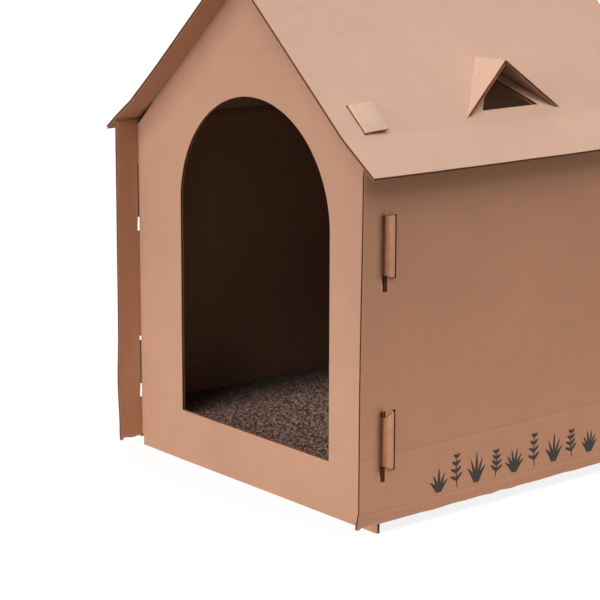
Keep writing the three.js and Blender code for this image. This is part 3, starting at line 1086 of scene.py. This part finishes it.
BACKING = 3 * MM
BACKING_ROUNDING = 0.6 * MM
BACKING_RELIEF = 0.2 * MM
PILE_STEP = 3.8 * MM
PILE_JITTER = 0.9 * MM
PILE_SEED = 7
LOOP_RADIUS = 1.2 * MM
YARN_RADIUS = 1 * MM
LOOP_STEPS = 4
YARN_SIDES = 3
LOOP_GROWTH = (0.8, 1.2)
LOOP_TILT = 0.5
LOOP_SHARE = 0.85
YARN_SCALE = 1800
YARN_SHARE = 0.6
YARN_RELIEF = 0.2 * MM
PILE_PATCH_SCALE = 14
PILE_PATCH_SHARE = 0.3
PILE_BASE = 0.05
PILE_ROUGHNESS = 0.95
# Painted shadow on the pile along the side walls
PILE_SHADOW_X = (80 * MM, 172 * MM)
PILE_SHADOW_SHARE = 0.82

carpet_size = carpet_high - carpet_low


def on_carpet(height):
    """The point over the middle of the carpet's foot."""
    middle = (carpet_low + carpet_high) / 2
    middle.z = carpet_low.z + height
    return middle


def carpet_backing():
    """A thin slab with rounded edges, under the pile."""
    mesh = bmesh.new()
    bmesh.ops.create_cube(mesh, size=1)
    size = Vector((carpet_size.x, carpet_size.y, BACKING))
    matrix = Matrix.LocRotScale(on_carpet(BACKING / 2), None, size)
    bmesh.ops.transform(mesh, matrix=matrix, verts=mesh.verts)
    settings = dict(offset=BACKING_ROUNDING, segments=2, profile=0.5, affect="EDGES")
    bmesh.ops.bevel(mesh, geom=mesh.edges[:], **settings)
    data = bpy.data.meshes.new("carpet_backing")
    mesh.to_mesh(data)
    mesh.free()
    data.materials.append(paper_finish("carpet_back", CARPET_BACK, BACKING_RELIEF))
    return placed("carpet_backing", data)


def pile_finish():
    """Brown yarn loops, each of its own tone, with painted shadow along the side walls."""
    finish = Finish("loop_pile")
    point = finish.place()
    shade = finish.node("ShaderNodeAttribute", {"attribute_name": "loop_shade"}, {}, "Fac")
    yarn = finish.noise(point, YARN_SCALE)
    patches = finish.noise(point, PILE_PATCH_SCALE).swing()
    tone = shade * LOOP_SHARE + yarn.swing() * YARN_SHARE + patches * PILE_PATCH_SHARE + PILE_BASE
    # Painted shadow on the pile along the side walls
    wall_shadow = finish.ranged(finish.along(point, X_AXIS).size(), *PILE_SHADOW_X)
    loops = finish.mix(tone, PILE_LOW, PILE_HIGH)
    colour = finish.mix(wall_shadow * PILE_SHADOW_SHARE, loops, PILE_SHADOW)
    return finish.surface(colour, PILE_ROUGHNESS, finish.bump(yarn, YARN_RELIEF))


def pile_tree(material, defaults):
    """Node group: a jittered grid of small arched loops, each with a shade."""
    tree = bpy.data.node_groups.new("loop_pile", "GeometryNodeTree")
    face = tree.interface
    for key, value in defaults.items():
        kind = "NodeSocketInt" if isinstance(value, int) else "NodeSocketFloat"
        face.new_socket(key, in_out="INPUT", socket_type=kind).default_value = value
    face.new_socket("Geometry", in_out="OUTPUT", socket_type="NodeSocketGeometry")
    nodes = tree.nodes
    links = tree.links
    sizes = nodes.new("NodeGroupInput").outputs

    def add(kind, settings=None, values=None):
        """Adds a node, sets it up and fills its sockets."""
        node = nodes.new(kind)
        for key, setting in (settings or {}).items():
            setattr(node, key, setting)
        for key, value in (values or {}).items():
            socket = node.inputs[key] if isinstance(key, int) else next(
                s for s in node.inputs if s.name == key and s.enabled
            )
            if isinstance(value, bpy.types.NodeSocket):
                links.new(value, socket)
            else:
                socket.default_value = value
        return node

    def varied(data_type, low, high, first):
        """Random values between two, filled in from a socket's number on."""
        values = {first: low, first + 1: high, "Seed": sizes["Seed"]}
        return add("FunctionNodeRandomValue", {"data_type": data_type}, values)

    grid = add("GeometryNodeMeshGrid", {}, {
        "Size X": sizes["Width"], "Size Y": sizes["Length"],
        "Vertices X": sizes["Columns"], "Vertices Y": sizes["Rows"],
    })
    back = add("ShaderNodeMath", {"operation": "MULTIPLY"}, {0: sizes["Jitter"], 1: -1.0})
    low = add("ShaderNodeCombineXYZ", {}, {"X": back.outputs[0], "Y": back.outputs[0]})
    high = add("ShaderNodeCombineXYZ", {}, {"X": sizes["Jitter"], "Y": sizes["Jitter"]})
    shift = varied("FLOAT_VECTOR", low.outputs[0], high.outputs[0], 0)
    moved = add("GeometryNodeSetPosition", {}, {
        "Geometry": grid.outputs["Mesh"], "Offset": shift.outputs[0],
    })
    arc = add("GeometryNodeCurveArc", {}, {
        "Resolution": LOOP_STEPS, "Radius": sizes["Loop Radius"],
        "Start Angle": 0.0, "Sweep Angle": math.pi,
    })
    upright = add("GeometryNodeTransform", {}, {
        "Geometry": arc.outputs["Curve"], "Rotation": (math.pi / 2, 0, 0),
    })
    yarn = add("GeometryNodeCurvePrimitiveCircle", {}, {
        "Resolution": YARN_SIDES, "Radius": sizes["Yarn Radius"],
    })
    loop = add("GeometryNodeCurveToMesh", {}, {
        "Curve": upright.outputs[0], "Profile Curve": yarn.outputs[0], "Fill Caps": True,
    })
    smooth = add("GeometryNodeSetShadeSmooth", {}, {"Geometry": loop.outputs[0]})
    spin = varied("FLOAT_VECTOR", (0.0, 0.0, 0.0), (LOOP_TILT, LOOP_TILT, 2 * math.pi), 0)
    grow = varied("FLOAT", *LOOP_GROWTH, 2)
    loops = add("GeometryNodeInstanceOnPoints", {}, {
        "Points": moved.outputs[0], "Instance": smooth.outputs[0],
        "Rotation": spin.outputs[0], "Scale": grow.outputs[1],
    })
    tint = varied("FLOAT", 0.0, 1.0, 2)
    stored = add("GeometryNodeStoreNamedAttribute", {"data_type": "FLOAT", "domain": "INSTANCE"}, {
        "Geometry": loops.outputs[0], "Name": "loop_shade", "Value": tint.outputs[1],
    })
    real = add("GeometryNodeRealizeInstances", {}, {"Geometry": stored.outputs[0]})
    painted = add("GeometryNodeSetMaterial", {}, {"Geometry": real.outputs[0], "Material": material})
    end = nodes.new("NodeGroupOutput")
    links.new(painted.outputs[0], end.inputs[0])
    return tree


def grown(name, tree, values):
    """The plain mesh that a node group makes with the values given to its named inputs."""
    maker = placed(f"{name}_maker", bpy.data.meshes.new(f"{name}_seed"))
    modifier = maker.modifiers.new("nodes", "NODES")
    modifier.node_group = tree
    for item in tree.interface.items_tree:
        if item.in_out == "INPUT" and item.name in values:
            modifier[item.identifier] = values[item.name]
    graph = bpy.context.evaluated_depsgraph_get()
    data = bpy.data.meshes.new_from_object(maker.evaluated_get(graph), depsgraph=graph)
    data.name = name
    bpy.data.objects.remove(maker)
    return placed(name, data)


def loop_pile():
    """The pile on the whole of the backing."""
    width = carpet_size.x - PILE_STEP
    length = carpet_size.y - PILE_STEP
    values = {
        "Width": width,
        "Length": length,
        "Columns": round(width / PILE_STEP) + 1,
        "Rows": round(length / PILE_STEP) + 1,
        "Jitter": PILE_JITTER,
        "Loop Radius": LOOP_RADIUS,
        "Yarn Radius": YARN_RADIUS,
        "Seed": PILE_SEED,
    }
    piece = grown("carpet_pile", pile_tree(pile_finish(), values), values)
    piece.data.transform(Matrix.Translation(on_carpet(BACKING)))
    return piece


backing = carpet_backing()
pile = loop_pile()
for piece in (backing, pile):
    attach(piece, "house")
    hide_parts("carpet_mat")


# Stage


CAMERA_AZIMUTH = 50.297
CAMERA_ELEVATION = 12.644
CAMERA_ROLL = math.radians(0.151)
CAMERA_LENS = 122.03
CAMERA_SENSOR = 36
CAMERA_SIGHT = 100
CAMERA_PLACE = Vector((1503.99, -1381.95, 618.11)) * MM

# Name, azimuth, elevation, strength and spread of each lamp, with angles in degrees
LAMPS = [
    ("key", 15, 49, 1.15, 26),
    ("front_fill", 2, 9, 1.2, 25),
    ("top_fill", 105, 62, 1.55, 34),
    ("back_fill", -140, 40, 0.9, 30),
]
SKY_LIGHT = 0.15
SKY_SEEN = 1

FLOOR_REACH = 30
FLOOR_NEAR = 0.35
FLOOR_FAR = 1.3
FLOOR_NEAR_TONE = Colour(222, 220, 218)
FLOOR_FAR_TONE = Colour(90, 90, 90)
FLOOR_SEEN_TONE = Colour(120, 120, 120)
FLOOR_GLOW = 0.87


def towards(azimuth, elevation):
    """The direction to a place seen from the house; azimuth 0 is -Y and 90 is +X."""
    turn = math.radians(azimuth)
    rise = math.radians(elevation)
    return Vector((
        math.sin(turn) * math.cos(rise),
        -math.cos(turn) * math.cos(rise),
        math.sin(rise),
    ))


def camera():
    """The camera of the picture, from its place, its direction, its roll and its lens."""
    data = bpy.data.cameras.new("camera")
    data.sensor_width = CAMERA_SENSOR
    data.lens = CAMERA_LENS
    data.clip_end = CAMERA_SIGHT
    back = towards(CAMERA_AZIMUTH, CAMERA_ELEVATION)
    right = (-back).cross(Z_AXIS).normalized()
    up = right.cross(-back)
    turned_right = right * math.cos(CAMERA_ROLL) + up * math.sin(CAMERA_ROLL)
    turned_up = up * math.cos(CAMERA_ROLL) - right * math.sin(CAMERA_ROLL)
    turn = Matrix((turned_right, turned_up, back)).transposed()
    camera_object = placed("camera", data)
    camera_object.matrix_world = Matrix.Translation(CAMERA_PLACE) @ turn.to_4x4()
    bpy.context.scene.camera = camera_object


def lamp(name, azimuth, elevation, strength, spread):
    """A distant lamp with soft shadows."""
    data = bpy.data.lights.new(name, "SUN")
    data.energy = strength
    data.angle = math.radians(spread)
    placed(name, data).rotation_euler = towards(azimuth, elevation).to_track_quat("Z", "Y").to_euler()


def stage_floor():
    """A floor that looks white but takes shadows, and lights the house from below close to it."""
    data = bpy.data.meshes.new("stage_floor")
    corners = [(x * FLOOR_REACH, y * FLOOR_REACH, 0) for x, y in ((-1, -1), (1, -1), (1, 1), (-1, 1))]
    data.from_pydata(corners, [], [(0, 1, 2, 3)])
    finish = Finish("stage_floor")
    seen = finish.node("ShaderNodeLightPath", output="Is Camera Ray")
    glossy = finish.node("ShaderNodeLightPath", output="Is Glossy Ray")
    settings = {"operation": "LENGTH"}
    distance = finish.node("ShaderNodeVectorMath", settings, {0: finish.place()}, "Value")
    near = finish.ranged(distance, FLOOR_NEAR, FLOOR_FAR, 1, 0)
    lit = finish.mix(near, FLOOR_FAR_TONE, FLOOR_NEAR_TONE)
    tone = finish.mix(seen, lit, FLOOR_SEEN_TONE)
    base = finish.node("ShaderNodeBsdfDiffuse", {}, {"Color": tone})
    glow = finish.node("ShaderNodeEmission", {}, {"Strength": (seen + glossy) * FLOOR_GLOW})
    both = finish.node("ShaderNodeAddShader", {}, {0: base, 1: glow})
    finish.node("ShaderNodeOutputMaterial", {}, {"Surface": both})
    data.materials.append(finish.material)
    ground = placed("stage_floor", data)


def world():
    """A dim white sky that is bright to the camera and in reflections."""
    surroundings = bpy.data.worlds.new("studio")
    bpy.context.scene.world = surroundings
    surroundings.use_nodes = True
    tree = surroundings.node_tree
    tree.nodes.clear()
    path = tree.nodes.new("ShaderNodeLightPath")
    seen = tree.nodes.new("ShaderNodeMath")
    seen.operation = "MAXIMUM"
    tree.links.new(path.outputs["Is Camera Ray"], seen.inputs[0])
    tree.links.new(path.outputs["Is Glossy Ray"], seen.inputs[1])
    strength = tree.nodes.new("ShaderNodeMapRange")
    strength.inputs["To Min"].default_value = SKY_LIGHT
    strength.inputs["To Max"].default_value = SKY_SEEN
    tree.links.new(seen.outputs[0], strength.inputs["Value"])
    light = tree.nodes.new("ShaderNodeBackground")
    light.inputs["Color"].default_value = (1, 1, 1, 1)
    tree.links.new(strength.outputs[0], light.inputs["Strength"])
    out = tree.nodes.new("ShaderNodeOutputWorld")
    tree.links.new(light.outputs[0], out.inputs["Surface"])


bpy.context.scene.view_settings.view_transform = "Standard"
camera()
stage_floor()
world()
for settings in LAMPS:
    lamp(*settings)
